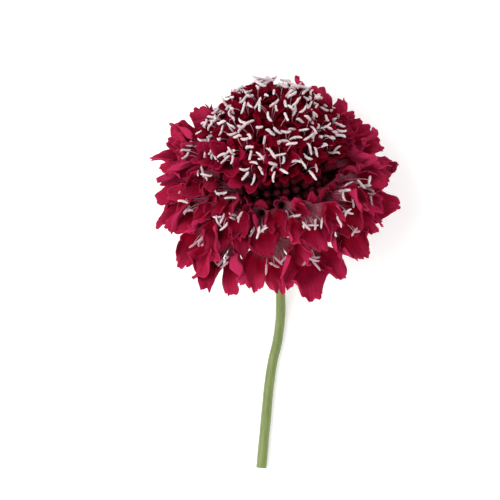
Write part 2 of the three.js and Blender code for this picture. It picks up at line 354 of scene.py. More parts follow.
class Nodes:
    """Short names for the nodes of one material."""

    def __init__(self, name):
        self.material = bpy.data.materials.new(name)
        self.material.use_nodes = True
        self.tree = self.material.node_tree
        self.shader = self.tree.nodes["Principled BSDF"]

    def put(self, node, inputs):
        """Sets inputs of a node, each to a socket or to a plain value."""
        for name, value in inputs.items():
            if isinstance(value, bpy.types.NodeSocket):
                self.tree.links.new(value, node.inputs[name])
            else:
                node.inputs[name].default_value = value

    def new(self, kind, inputs, **settings):
        """Makes a node and returns its outputs."""
        node = self.tree.nodes.new(kind)
        for name, value in settings.items():
            setattr(node, name, value)
        self.put(node, inputs)
        return node.outputs

    def math(self, operation, *values):
        return self.new("ShaderNodeMath", dict(enumerate(values)), operation=operation)[0]

    def times(self, a, b):
        return self.math("MULTIPLY", a, b)

    def plus(self, a, b):
        return self.math("ADD", a, b)

    def mix(self, share, a, b):
        """Colour a with a share of colour b over it. Either may be a socket or three numbers."""
        a, b = (colour if isinstance(colour, bpy.types.NodeSocket) else (*colour, 1) for colour in (a, b))
        return self.new("ShaderNodeMix", {"Factor": share, "A": a, "B": b}, data_type="RGBA")["Result"]

    def ramp(self, value, start, end, most=1.0):
        """0 up to the start, most from the end on, and a smooth rise between."""
        inputs = {"Value": value, "From Min": start, "From Max": end, "To Max": most}
        return self.new("ShaderNodeMapRange", inputs, interpolation_type="SMOOTHSTEP")["Result"]

    def place(self):
        return self.new("ShaderNodeTexCoord", {})["Object"]

    def noise(self, scale, detail, vector=None, roughness=0.5):
        """Noise with so many waves to a metre, or to one unit of the given vector."""
        if vector is None:
            vector = self.place()
        inputs = {"Vector": vector, "Scale": scale, "Detail": detail, "Roughness": roughness}
        return self.new("ShaderNodeTexNoise", inputs)["Fac"]

    def mark(self):
        vector = self.new("ShaderNodeAttribute", {}, attribute_name="mark")["Vector"]
        return self.new("ShaderNodeSeparateXYZ", {"Vector": vector})

    def bump(self, height, strength, depth):
        """Bumps of a depth in mm."""
        inputs = {"Strength": strength, "Distance": depth * MM, "Height": height}
        self.put(self.shader, {"Normal": self.new("ShaderNodeBump", inputs)["Normal"]})

    def finish(self, colour, roughness, sheen=0.0, sheen_tint=(1, 1, 1), specular=0.4):
        look = {"Base Color": colour, "Roughness": roughness, "Specular IOR Level": specular}
        fuzz = {"Sheen Weight": sheen, "Sheen Roughness": 0.45, "Sheen Tint": (*sheen_tint, 1)}
        self.put(self.shader, look | fuzz)
        return self.material


def petal_material(name, body, edge, throat, back, shade, dusk_and_sheen):
    """Satin petal: pale hairy throat, veins that fan out, lighter streaks and deeper patches. The duskier patches
    are partly the petal's own tone and partly painted velvet sheen. The pinker tips, hem and back are partly its
    own colour and partly painted highlight, and the light specks are painted sparkle.
    """
    n = Nodes(name)
    # A lighter red, used for the petal's own lighter streaks and for painted sparkle.
    streak_and_sparkle = tuple(1.6 * c for c in body)
    across, along, side = n.mark()
    patches = n.noise(150, 3)
    dusky = n.noise(75, 2)
    fine = n.noise(1500, 4)
    sparkle_specks = n.noise(3400, 2)
    wobble = n.times(n.noise(230, 2), 0.2)
    strands = n.math("SINE", n.times(n.plus(across, wobble), 34.0))
    veins = n.ramp(strands, 0.2, 1.0)
    fan = {"X": n.times(across, 7.0), "Y": n.times(along, 2.0), "Z": n.times(dusky, 5.0)}
    streaks = n.noise(1.7, 4, n.new("ShaderNodeCombineXYZ", fan)["Vector"], 0.6)

    colour = n.mix(n.ramp(patches, 0.36, 0.66), body, shade)
    # Duskier purple patches at random: partly the petal's own tone, partly painted velvet sheen.
    colour = n.mix(n.ramp(dusky, 0.42, 0.66, most=0.7), colour, dusk_and_sheen)
    # Pinker toward the lobe's end: partly the petal's own colour, partly painted highlight.
    colour = n.mix(n.ramp(along, 0.55, 1.0, most=0.65), colour, edge)
    colour = n.mix(n.ramp(streaks, 0.46, 0.68, most=0.5), colour, streak_and_sparkle)
    colour = n.mix(n.times(veins, 0.22), colour, shade)
    colour = n.mix(n.ramp(fine, 0.5, 0.75, most=0.4), colour, shade)
    # Painted sparkle: tiny light specks of the velvety surface.
    colour = n.mix(n.ramp(sparkle_specks, 0.54, 0.7, most=0.4), colour, streak_and_sparkle)
    # Painted highlight: the margins and the end of the outer half take the pinker tip colour, as if thin edges
    # catch the light.
    hem = n.math("MAXIMUM", n.ramp(n.math("ABSOLUTE", across), 0.9, 1.0), n.ramp(along, 0.96, 1.0))
    hem = n.times(hem, n.ramp(along, 0.4, 0.5, most=0.5))
    colour = n.mix(hem, colour, edge)
    reach = n.plus(along, n.times(strands, 0.04))
    pale = n.times(n.ramp(reach, 0.54, 0.28), n.ramp(fine, 0.1, 0.62))
    pale = n.times(pale, n.ramp(along, 0.08, 0.2, most=0.8))
    colour = n.mix(pale, colour, throat)
    # Pinker back wall: partly the underside's own colour, partly painted highlight where rolled lobes catch the
    # light.
    colour = n.mix(n.times(side, 0.8), colour, back)
    n.bump(n.plus(n.times(veins, -0.6), n.times(fine, 0.5)), 0.45, 0.12)
    return n.finish(colour, 0.62, sheen=0.01, sheen_tint=(1.0, 0.35, 0.5), specular=0.008)


def bud_material():
    n = Nodes("bud_skin_and_shade")
    _, along, _ = n.mark()
    patches = n.noise(900, 3)
    # Very dark red: partly the buds' own colour, partly painted shade of the band under the pincushion.
    colour = n.mix(n.ramp(patches, 0.35, 0.7), (0.055, 0.001, 0.005), (0.020, 0.001, 0.003))
    colour = n.mix(n.ramp(along, 0.88, 1.0), colour, (0.09, 0.004, 0.012))
    n.bump(patches, 0.3, 0.1)
    return n.finish(colour, 0.6, sheen=0.02, sheen_tint=(1, 0.5, 0.6), specular=0.1)


def anther_material():
    """Pale grey-pink pollen, in the ring's lowest florets duller and pinker."""
    n = Nodes("anther_pollen")
    _, _, dullness = n.mark()
    grains = n.noise(5200, 3)
    tone = n.noise(420, 2)
    colour = n.mix(n.ramp(tone, 0.35, 0.7), (0.72, 0.62, 0.635), (0.52, 0.41, 0.435))
    colour = n.mix(dullness, colour, (0.46, 0.23, 0.29))
    colour = n.mix(n.ramp(grains, 0.5, 0.7, most=0.5), colour, (0.33, 0.22, 0.26))
    n.bump(grains, 0.5, 0.06)
    return n.finish(colour, 0.75, sheen=0.1)


def filament_material():
    n = Nodes("filament_skin")
    _, along, _ = n.mark()
    colour = n.mix(along, (0.34, 0.07, 0.12), (0.66, 0.42, 0.48))
    colour = n.mix(n.times(n.noise(900, 2), 0.25), colour, (0.24, 0.03, 0.08))
    return n.finish(colour, 0.5)


def stem_material():
    """Streaky green, darker near the head, which is painted shadow of the head."""
    n = Nodes("stem_skin")
    _, along, _ = n.mark()
    stretched = n.new("ShaderNodeMapping", {"Vector": n.place(), "Scale": (1, 0.12, 1)})
    streaks = n.noise(1900, 3, stretched["Vector"])
    patches = n.noise(110, 3)
    speckle = n.noise(3200, 2)
    colour = n.mix(n.ramp(streaks, 0.3, 0.7), (0.15, 0.2, 0.055), (0.205, 0.26, 0.08))
    colour = n.mix(n.ramp(patches, 0.3, 0.75, most=0.5), colour, (0.125, 0.18, 0.041))
    colour = n.mix(n.ramp(speckle, 0.6, 0.75, most=0.25), colour, (0.27, 0.32, 0.13))
    # Painted shadow of the head: the stem turns darker green towards the head.
    colour = n.mix(n.ramp(along, 0.45, 0.0, most=0.55), colour, (0.13, 0.185, 0.04))
    n.bump(streaks, 0.35, 0.08)
    return n.finish(colour, 0.5, sheen=0.15, sheen_tint=(0.9, 1, 0.8))


def bract_material():
    """Green with a paler rib and a reddish tip."""
    n = Nodes("bract_skin")
    across, along, _ = n.mark()
    fine = n.noise(1500, 3)
    rib = n.ramp(n.math("ABSOLUTE", n.math("SUBTRACT", across, 0.5)), 0.09, 0.0)
    colour = n.mix(n.ramp(fine, 0.3, 0.7), (0.13, 0.20, 0.055), (0.19, 0.26, 0.085))
    colour = n.mix(n.times(rib, 0.6), colour, (0.30, 0.36, 0.15))
    colour = n.mix(n.ramp(along, 0.75, 1.0, most=0.6), colour, (0.22, 0.07, 0.06))
    n.bump(n.plus(fine, rib), 0.4, 0.12)
    return n.finish(colour, 0.65, sheen=0.3, sheen_tint=(0.9, 1, 0.85))


def receptacle_material():
    """Green at its foot and dark between the florets."""
    n = Nodes("receptacle_skin")
    _, along, _ = n.mark()
    fine = n.noise(1300, 4)
    light = n.ramp(fine, 0.3, 0.7)
    dark = n.mix(light, (0.03, 0.02, 0.012), (0.07, 0.045, 0.025))
    green = n.mix(light, (0.13, 0.18, 0.05), (0.20, 0.25, 0.09))
    n.bump(fine, 0.6, 0.2)
    return n.finish(n.mix(n.ramp(along, 0.12, 0.3), green, dark), 0.75)


def fruit_material():
    n = Nodes("fruit_skin")
    _, along, _ = n.mark()
    fine = n.noise(1700, 3)
    colour = n.mix(n.ramp(fine, 0.3, 0.7), (0.28, 0.30, 0.13), (0.38, 0.36, 0.2))
    colour = n.mix(n.ramp(along, 0.55, 0.9), colour, (0.50, 0.42, 0.33))
    n.bump(fine, 0.4, 0.1)
    return n.finish(colour, 0.7)


def floor_material():
    n = Nodes("pale_floor")
    colour = n.mix(n.noise(6, 2), (0.91, 0.91, 0.91), (0.93, 0.93, 0.93))
    n.put(n.shader, {"Emission Color": (1, 1, 1, 1), "Emission Strength": 0.24})
    return n.finish(colour, 0.9, specular=0.1)


# -------- petals

# A lobe's angle is its place round the mouth, and arc is half its share of the mouth. It leaves the mouth at the
# flare, turns to its heading and lean, and curls and twists. Its width is half of the real one. Angles are in
# degrees, but the cup and the two rolls, which bend it across, are in radians.
LARGE_LOBE = {"flare": 61, "round": 0.36, "spike": 0, "paleness": 0.3}
LARGE_LOBE_RANGES = {
    "curl": (-32, 28), "twist": (-20, 20), "cup": (-0.5, 0.5), "roll_left": (-0.8, 1.1),
    "roll_right": (-0.8, 1.1), "ruffle": (0.57, 1.2825), "waves": (1.5, 3.2), "frill": (0.3, 0.84),
    "phase": ANY_PHASE, "crease": (0.15, 0.65), "fold": (-0.35, 0.35), "depth": (0.9, 2.1),
}
OUTER_LOBE = {"angle": 0, "arc": 36, "heading": 0, "length": 13.2, "width": 5.7, "columns": 30, "rows": 28}
SIDE_LOBE = {"angle": 71, "arc": 35, "heading": 27, "length": 11.6, "width": 4.1, "columns": 22, "rows": 24}
EAR_LOBE = {"angle": 143, "arc": 37, "heading": 150, "width": 2.5, "columns": 12, "rows": 10}
EAR_LOOK = {"humps": 1, "depth": 0.3, "ruffle": 0.3, "frill": 0.15, "crease": 0.1, "paleness": 0.6}
SIDE_LOBE_RISE = 25
SIDE_LOBE_FOLLOWS = 0.82
ROLLED_SHARE = 0.4

SMALL_LOBE = {
    "arc": 36, "columns": 8, "rows": 8, "flare": 70, "roll_left": 0, "roll_right": 0, "round": 0.35,
    "ruffle": 0.2, "waves": 1.5, "frill": 0.08, "crease": 0.05, "fold": 0, "depth": 0.4, "spike": 0,
    "paleness": 0.45,
}
SMALL_LOBE_RANGES = {
    "length": (3.0, 4.3), "width": (1.2, 1.7), "lean": (10, 50), "curl": (-30, 40), "twist": (-15, 15),
    "cup": (0.2, 1.0), "phase": ANY_PHASE,
}
SPINE_STEPS = 60


def tip_outline(s, lobe, rng):
    """How far a lobe's end stands out across its width: round humps with sharp notches between them."""
    humps = lobe["humps"]
    edges = [-1]
    for k in range(1, humps):
        edges.append(-1 + (2 * k + rng.uniform(-0.45, 0.45)) / humps)
    edges.append(1)
    out = np.zeros_like(s)
    for low, high in zip(edges[:-1], edges[1:]):
        x = np.abs(2 * (s - low) / (high - low) - 1)
        hump = rng.uniform(0.6, 1.0) * lobe["depth"] * (1 - x ** rng.uniform(2.2, 4.5))
        out = np.where((s >= low) & (s <= high), hump, out)
    if lobe["spike"]:
        centre = rng.uniform(-0.9, 0.9)
        out = np.maximum(out, lobe["spike"] * np.exp(-np.abs(s - centre) / 0.07))
    return out


def across_sum(values, s):
    """The running sum of values across a lobe, from its middle outwards."""
    step = s[0, 1] - s[0, 0]
    total = np.cumsum((values[:, 1:] + values[:, :-1]) / 2 * step, 1)
    total = np.concatenate([np.zeros((len(values), 1)), total], 1)
    return total - total[:, [total.shape[1] // 2]]


def dents(x, y, rng):
    """Small random hollows, in mm."""
    total = 0
    for _ in range(5):
        turn = rng.uniform(0, pi)
        wavelength = rng.uniform(3.0, 8.0)
        swing = (x * cos(turn) + y * sin(turn)) * ROUND / wavelength
        total = total + np.sin(swing + rng.uniform(*ANY_PHASE)) * 0.036 * wavelength
    return total


def lobe_spine(lobe, mouth, top):
    """A lobe's middle line: shares of its length, the points there, and the directions across and off the lobe."""
    u = np.linspace(0, 1, SPINE_STEPS + 1)
    heading = np.radians(mix(lobe["angle"], lobe["heading"], smooth(u / 0.7)))
    lift = np.radians(mix(lobe["flare"], lobe["lean"], smooth(u / 0.45)) + lobe["curl"] * u**2)
    forward = np.stack([np.cos(lift) * np.sin(heading), -np.cos(lift) * np.cos(heading), np.sin(lift)], 1)
    side = np.stack([np.cos(heading), np.sin(heading), 0 * heading], 1)
    normal = np.cross(forward, side)
    twist = radians(lobe["twist"]) * smooth(u)[:, None]
    across = side * np.cos(twist) + normal * np.sin(twist)
    off = normal * np.cos(twist) - side * np.sin(twist)
    start = mouth * outward(radians(lobe["angle"])) + UP * top
    travelled = np.vstack([np.zeros(3), np.cumsum(forward[:-1], 0)]) * lobe["length"] / SPINE_STEPS
    return u, start + travelled, across, off


def lobe_plan(lobe, s, t, mouth, rng):
    """How far along the lobe its points are, as a share of its length, and half its width there."""
    outline = tip_outline(s, lobe, rng)
    teeth = 0.15 * np.sin(s * rng.uniform(12, 20) + rng.uniform(0, 6))
    teeth = teeth + 0.1 * np.sin(s * rng.uniform(26, 40) + rng.uniform(0, 6))
    reach = t * (1 - lobe["round"] * np.abs(s) ** 2.2 * t)
    reach = reach + (outline - lobe["depth"] + teeth) / lobe["length"] * t**3
    base = mouth * sin(radians(lobe["arc"]))
    width = mix(base, lobe["width"], smooth(t / 0.62)) * (1 - 0.2 * smooth((t - 0.65) / 0.35))
    for side in (-1, 1):
        nicks = 0.09 * np.sin(t * rng.uniform(9, 16) + rng.uniform(0, 6)) + 0.05 * np.sin(t * rng.uniform(22, 34))
        width = width * (1 + nicks * smooth((t - 0.35) / 0.3) * smooth((side * s - 0.5) / 0.5))
    return reach, width


def lobe_relief(lobe, s, t, width, rng):
    """How far the lobe's points are beside its middle line and off it."""
    phase = lobe["phase"]
    edges = lobe["roll_right"] * smooth((s - 0.25) / 0.75) - lobe["roll_left"] * smooth((-s - 0.25) / 0.75)
    bend = (lobe["cup"] * s + edges) * smooth(t / 0.35)
    ruffle = lobe["ruffle"] * t**1.6 * np.sin(pi * lobe["waves"] * s + phase) * (0.3 + 0.7 * np.abs(s))
    frill = lobe["frill"] * np.abs(s) ** 2.5 * smooth((t - 0.25) / 0.5) * np.sin(t * 12 + s * 2 + phase * 2)
    hem = 0.7 * lobe["frill"] * t**7 * np.sin(s * 9 + phase * 3)
    crease = lobe["crease"] * smooth(t / 0.4) * (1 - smooth(np.abs(s - lobe["fold"]) / 0.3))
    hollows = dents(s * lobe["width"], t * lobe["length"], rng) * smooth(t / 0.4)
    beside = width * across_sum(np.cos(bend), s)
    off = width * across_sum(np.sin(bend), s) + ruffle + frill + hem - crease + hollows
    return beside, off


def lobe_sheet(lobe, mouth, top, rng):
    """One lobe as rows of points, from the mouth's rim to the lobe's end, in the floret's own frame."""
    s = np.linspace(-1, 1, lobe["columns"] + 1)[None, :]
    t = np.linspace(0, 1, lobe["rows"] + 1)[:, None]
    u, line, across_line, off_line = lobe_spine(lobe, mouth, top)
    reach, width = lobe_plan(lobe, s, t, mouth, rng)
    beside, off = lobe_relief(lobe, s, t, width, rng)

    def at(table):
        return np.stack([np.interp(reach, u, table[:, k]) for k in range(3)], -1)

    free = at(line) + at(across_line) * beside[..., None] + at(off_line) * off[..., None]
    turn = np.radians(lobe["angle"] + s * lobe["arc"])
    out = np.stack([np.sin(turn), -np.cos(turn), 0 * turn], -1)
    flare = radians(lobe["flare"])
    slope = out * cos(flare) + UP * sin(flare)
    near = mouth * out + UP * top + slope * (reach * lobe["length"])[..., None]
    return mix(near, free, smooth(t / 0.34)[..., None]), grid_marks(s, mix(lobe["paleness"], 1, t))


def corolla(lobes, mouth, length, rng, foot, funnel, rings):
    """A tube along +Z that opens into lobes; the lobes' arcs together go once round its mouth."""
    shape = Shape()
    angles = []
    for lobe in lobes:
        s = np.linspace(-1, 1, lobe["columns"] + 1)[:-1]
        angles.append(np.radians(lobe["angle"] + s * lobe["arc"]))
    angles = np.concatenate(angles)
    rows = []
    for k in range(rings + 1):
        height = length * (1 - (1 - k / rings) ** 1.8)
        opening = max(0.0, (height - (length - funnel)) / funnel) ** 1.35
        radius = mix(foot * (1 + 0.35 * height / length), mouth, opening)
        marks = np.stack([angles / pi, 0 * angles + 0.3 * height / length, 0 * angles], 1)
        rows.append(shape.add_points(level_ring(radius, angles, height), marks))
    shape.add_faces(rows, closed=True)
    rim = np.append(rows[-1], rows[-1][0])
    first = 0
    for lobe in lobes:
        sheet, marks = lobe_sheet(lobe, mouth, length, rng)
        last = first + lobe["columns"]
        shape.add_faces([rim[first:last + 1]] + [shape.add_points(*row) for row in zip(sheet[1:], marks[1:])])
        first = last
    return shape


def large_lobe(form, row, index, place, lean, rng):
    """One lobe of a large floret. Places are -2 to 2, from the left upper lobe to the right upper one."""
    swing, dip, growth = row["lobes"].get((index, place), (0, 0, 1))
    size = row["size"] * row["sizes"].get(index, 1)
    side = (place > 0) - (place < 0)
    lobe = {**LARGE_LOBE, **form}
    lobe["angle"] = side * form["angle"]
    lobe["heading"] = side * form["heading"] + swing + rng.uniform(-10, 10)
    lobe["length"] = form["length"] * growth * size * rng.uniform(0.9, 1.06)
    lobe["width"] = form["width"] * size * rng.uniform(0.86, 1.08)
    lobe["lean"] = lean - dip + rng.uniform(-10, 10)
    lobe["columns"] = 2 * round(form["columns"] * row["fineness"] / 2)
    lobe["rows"] = round(form["rows"] * row["fineness"])
    lobe.update(draw(LARGE_LOBE_RANGES, rng))
    return lobe


def large_lobes(row, index, lean, rng):
    """The five lobes of a large floret, in order round its mouth from the left upper one."""
    humps = rng.choice((2, 3, 4))
    outer = large_lobe(OUTER_LOBE, row, index, 0, lean, rng)
    outer.update(humps=humps, spike=row["spikes"].get(index, 0))
    ear_length, ear_lean = row["ears"]
    ear_form = {**EAR_LOBE, "length": ear_length * row["ear_sizes"].get(index, 1)}
    lobes = [outer]
    for side in (-1, 1):
        humps = rng.choice((1, 2, 3))
        wing = large_lobe(SIDE_LOBE, row, index, side, mix(SIDE_LOBE_RISE, lean, SIDE_LOBE_FOLLOWS), rng)
        wing.update(humps=humps, twist=side * rng.uniform(5, 35))
        if rng.random() < ROLLED_SHARE:
            wing["roll_right" if side > 0 else "roll_left"] = rng.uniform(1.6, 2.6)
            wing["ruffle"] = 0.4
        ear = large_lobe(ear_form, row, index, 2 * side, ear_lean, rng)
        ear.update(EAR_LOOK, cup=rng.uniform(0.3, 1.1), curl=rng.uniform(-50, 25))
        lobes = [ear, wing] + lobes if side < 0 else lobes + [wing, ear]
    return lobes


def small_lobes(size, rng):
    """The five short lobes of a pincushion floret."""
    lobes = []
    for k in range(5):
        lobe = {**SMALL_LOBE, "angle": 72 * k, "heading": 72 * k, **draw(SMALL_LOBE_RANGES, rng)}
        lobe["length"] *= size
        lobe["width"] *= size
        lobe["humps"] = rng.choice((1, 1, 2))
        lobes.append(lobe)
    return lobes


# -------- stamens

# Where an anther's rings stand along it, from end to end.
ANTHER_STATIONS = (-1, -0.97, -0.88, -0.72, -0.55, -0.36, -0.18, 0, 0.18, 0.36, 0.55, 0.72, 0.88, 0.97, 1)
DOME_THREAD = 0.07
RING_THREAD = 0.08


def add_thread(shape, start, control, end, radius, sides=6, steps=9):
    """A filament along a curve with one control point."""
    t = np.linspace(0, 1, steps + 1)[:, None]
    line = (1 - t) ** 2 * start + 2 * t * (1 - t) * control + t**2 * end
    tangents = (1 - t) * (control - start) + t * (end - control)
    turn = whole_turn(sides)
    radii = radius * mix(1.15, 0.8, t) + 0 * turn
    first, _ = frame_along(tangents[0])
    shape.add_tube(rings_along(line, tangents, radii, turn, first), t[:, 0])


def add_anther(shape, centre, direction, side, dullness, rng):
    """A rod with round ends and a groove along it, bowed and lumpy with pollen."""
    side = unit(side - direction * np.dot(side, direction))
    third = np.cross(direction, side)
    length = rng.uniform(2.4, 3.2)
    radius = rng.uniform(0.28, 0.36)
    bow = rng.uniform(-0.45, 0.45)
    sway = rng.uniform(-0.3, 0.3)
    turn = whole_turn(12)
    groove = 1 - 0.22 * np.maximum(np.cos(turn), 0) ** 6 - 0.14 * np.maximum(-np.cos(turn), 0) ** 6
    rings = []
    for x in ANTHER_STATIONS:
        girth = max(0.2, (1 - abs(x) ** 4.5) ** 0.5)
        lumps = rng.uniform(0.84, 1.1) * np.array([rng.uniform(0.84, 1.14) for _ in turn])
        bend = 1 - x * x
        middle = centre + direction * (x * length / 2) + side * (bow * bend) + third * (sway * x * bend * 2)
        rings.append(ring_about(middle, side, third, radius * girth * groove * lumps, turn))
    shape.add_tube(rings, [0.5 + x / 2 for x in ANTHER_STATIONS], dullness)


def dome_stamens(length, longness, rng):
    """Four stamens that stand well out of a pincushion floret."""
    threads, anthers = Shape(), Shape()
    start_turn = rng.uniform(*ANY_PHASE)
    for k in range(4):
        turn = start_turn + k * pi / 2 + rng.uniform(-0.45, 0.45)
        out = outward(turn)
        aside = outward(turn + pi / 2) * rng.uniform(-0.9, 0.9)
        reach = rng.uniform(2.6, 4.9) * longness
        spread = rng.uniform(1.1, 3.3) * longness
        start = out * 0.5 + UP * (length - 1.6)
        end = out * spread + UP * (length + reach)
        control = out * rng.uniform(0.0, 0.9) + aside + UP * (length + reach * rng.uniform(0.5, 0.95))
        add_thread(threads, start, control, end, DOME_THREAD)
        flat = np.cross(out, UP) * rng.uniform(-1, 1) + out * rng.uniform(-1, 1) + UP * rng.uniform(-0.6, 0.6)
        add_anther(anthers, end + UP * 0.2, unit(flat), np.cross(flat, (0.2, 0.1, 1)), 0, rng)
    return threads, anthers


def ring_stamens(length, size, lean, dullness, rng):
    """Four stamens that lean over the outer lobe of a large floret, on the lobe's own side of it."""
    threads, anthers = Shape(), Shape()
    lean = radians(lean)
    along_lobe = np.array([0, -cos(lean), sin(lean)])
    off_lobe = np.array([0, sin(lean), cos(lean)])
    for k in range(4):
        across = (k - 1.5) * 0.55 + rng.uniform(-0.25, 0.25)
        reach = rng.uniform(4.6, 7.4) * size
        climb = radians(rng.uniform(20, 38))
        rise = off_lobe * reach * sin(climb)
        start = np.array([across * 0.9, -0.7, length - 2.4])
        control = np.array([across * 1.1, 0, length]) + along_lobe * 1.6 + rise
        end = np.array([across * rng.uniform(1.2, 3.4), 0, length]) + along_lobe * reach * cos(climb) + rise
        add_thread(threads, start, control, end, RING_THREAD)
        sideways = np.array([rng.uniform(-0.8, 0.8), 0, 0])
        flat = sideways + along_lobe * rng.uniform(-0.2, 1) + off_lobe * rng.uniform(-0.3, 0.3)
        add_anther(anthers, end, unit(flat), np.cross(flat, off_lobe + (0.2, 0.1, 0)), dullness, rng)
    return threads, anthers


# -------- florets

# The fruit's skin from its foot up and over the collar's rim, as heights and radii.
FRUIT_PROFILE = (
    (0.0, 0.5), (0.3, 0.85), (1.2, 1.05), (2.1, 0.95), (2.5, 0.92), (3.0, 1.25), (3.3, 1.5), (3.25, 1.42),
    (2.7, 0.95), (2.4, 0.7),
)
COLLAR_HEIGHT = 2.6
GOLDEN_ANGLE = pi * (3 - sqrt(5))
GAP_CANDIDATES = 700


def young_fruit():
    """The fruit at a floret's foot: ribbed, with a papery collar and five bristles."""
    shape = Shape()
    turn = whole_turn(24)
    rings = []
    for height, radius in FRUIT_PROFILE:
        depth = 0.09 if height < COLLAR_HEIGHT else 0.15
        rings.append(level_ring(radius * (1 + depth * np.cos(8 * turn)), turn, height))
    shape.add_tube(rings, np.linspace(0, 1, len(rings)))
    for k in range(5):
        out = outward(k * ROUND / 5 + 0.3)
        start = out * 0.8 + UP * COLLAR_HEIGHT
        end = out * 1.9 + UP * 5.4
        add_thread(shape, start, (start + end) / 2 - out * 0.2, end, 0.07, sides=4, steps=4)
    return shape


def add_all(shapes, parts, matrix):
    for shape, part in zip(shapes, parts):
        shape.add_shape(part, matrix)


def large_floret(row, index, materials, stamens, fruits):
    """One floret of a row. Its stamens and its fruit are added to the shapes that hold those of the others."""
    name = f"{row['name']}_{index + 1:02d}"
    rng = random.Random(name)
    azimuth = radians(360 / row["count"] * index + row["turn"])
    rise = mix(row["front_rise"], row["back_rise"], (1 - cos(azimuth)) / 2)
    seat = receptacle_radius(row["seat_height"]) + SEAT_GAP + 0.8 * sin(radians(rise))
    rise -= row["droops"].get(index, 0)
    levels = row["petal_rise"]
    backness = acos(cos(azimuth)) / pi
    lean = np.interp(backness * (len(levels) - 1), range(len(levels)), levels) - rise + 90
    turn = row["turns"].get(index, 0) + rng.uniform(-3, 3)
    tilt = 90 - rise - row["lifts"].get(index, 0) - rng.uniform(-3, 3)
    roll = row["rolls"].get(index, 0) + rng.uniform(-16, 22)
    place = (
        HEAD
        @ Matrix.Rotation(azimuth + radians(turn), 4, "Z")
        @ Matrix.Translation((0, -seat, row["seat_height"]))
        @ Matrix.Rotation(radians(tilt), 4, "X")
        @ Matrix.Rotation(radians(roll), 4, "Z")
    )
    length = row["tube_length"] * rng.uniform(0.92, 1.05)
    sheet = corolla(large_lobes(row, index, lean, rng), row["mouth"], length, rng, foot=0.55, funnel=3.6, rings=9)
    sheet.move(place)
    sheet.points = [above_floor(points) for points in sheet.points]
    replaced = [name] if row in (OUTER_ROW, SECOND_ROW) else ()
    material = materials[row["tones"].get(index, "plain")]
    piece(name + "_corolla", thickened(sheet, PETAL_THICKNESS), material, replaced)
    if index not in row["bare"]:
        add_all(stamens, ring_stamens(length, row["size"], lean, row["dullness"], rng), place)
    fruits.add_shape(young_fruit(), place @ Matrix.Translation((0, 0, -SEAT_GAP)))


def dome_places():
    """Polar angles and azimuths of the pincushion's florets: the CAD model's own, then those in the widest gaps."""

    def spiral(count, lowest):
        return [(acos(1 - (k + 0.5) / count * (1 - cos(lowest))), k * GOLDEN_ANGLE) for k in range(count)]

    def spot(place):
        polar, azimuth = place
        return Vector((sin(polar) * sin(azimuth), -sin(polar) * cos(azimuth), cos(polar)))

    places = spiral(DOME["nodes"], DOME["lowest"])
    candidates = spiral(GAP_CANDIDATES, DOME["lowest"] + 0.04)
    for _ in range(DOME["extra"]):
        taken = [spot(place) for place in places]
        places.append(max(candidates, key=lambda c: min((spot(c) - other).length for other in taken)))
    return places


def dome_floret(index, place, material, stamens):
    """One floret of the pincushion. The stamens are shorter at its sides and at the back."""
    polar, azimuth = place
    name = f"dome_floret_{index + 1:02d}"
    rng = random.Random(name)
    out = Vector(outward(azimuth))
    up = Vector(UP)

    def on_dome(radius, middle, height):
        return out * radius * sin(polar) + up * (middle + height * cos(polar))

    r = RECEPTACLE
    throat = on_dome(DOME["radius"], DOME["middle"], DOME["height"])
    seat = on_dome(r["radius"], r["middle"], r["height"] - r["middle"])
    direction = (throat - seat).normalized()
    seat = seat + direction * SEAT_GAP * 1.8
    length = (throat - seat).length
    matrix = HEAD @ Matrix.Translation(seat) @ up.rotation_difference(direction).to_matrix().to_4x4()
    backness = max(0, -cos(azimuth)) * sin(polar)
    length = length * rng.uniform(0.94, 1.03) + 1.5 * backness
    size = DOME_RIM.get(index, 1)
    sheet = corolla(small_lobes(size, rng), 1.25 * size, length, rng, foot=0.5, funnel=3.0, rings=6)
    sheet.move(matrix)
    replaced = [name] if index < DOME["nodes"] else ()
    piece(name + "_corolla", thickened(sheet, PETAL_THICKNESS), material, replaced)
    longness = 1 - 0.35 * abs(sin(azimuth)) * sin(polar) - 0.3 * backness
    add_all(stamens, dome_stamens(length, longness, rng), matrix)


# -------- buds, receptacle, bracts and stem

# Name, count, radius, height, girth, shift and arc of each row of buds. Rows shifted by half a place stand between
# the ring's tubes. An arc below 180 degrees leaves out the buds behind.
BUD_ROWS = (
    ("buds_edge", 34, 16.6, 7.1, 0.95, 0, 105),
    ("buds_hem", 26, 15.8, 6.0, 0.95, 0.5, 180),
    ("buds_skirt", 26, 14.2, 7.3, 0.95, 0.5, 180),
    ("buds_lowest", 32, 12.9, 8.0, 1.05, 0, 180),
    ("buds_outer", 31, 12.5, 10.2, 1.05, 0, 180),
    ("buds_middle", 29, 11.6, 12.2, 1.05, 0, 180),
    ("buds_inner", 26, 10.3, 14.0, 1.05, 0, 180),
)
# Single buds that fill gaps, as azimuth in degrees, radius and height.
GAP_BUDS = ((13, 14.0, 9.0), (54, 14.4, 9.0))
GAP_BUD_GIRTH = 1.05
# Shares of a bud's length and the radii there. Above the middle they are shares of its girth.
BUD_PROFILE = (
    (0, 0.4), (0.45, 0.42), (0.62, 0.55), (0.70, 0.78), (0.78, 0.95), (0.86, 1.0), (0.93, 0.86),
    (0.975, 0.55), (0.995, 0.2),
)

# The stem's centreline as in the CAD model: offsets from the head's base along X and Y, and heights.
STEM_ROUTE = (
    (0.9, -13.2, 7.4), (1.0, -19.6, 3.4), (1.0, -26.0, 1.5), (0.3, -31.8, 1.2), (-0.9, -37.0, 1.2),
    (-1.8, -43.0, 1.2), (-2.5, -50.5, 1.2), (-3.6, -62.4, 1.25),
)
NECK = 6
# The cut end from its rim to its middle: shares of the radius and how far each stands out.
CUT_PROFILE = ((0.93, 0.03), (0.72, -0.06), (0.45, -0.12), (0.2, -0.16))


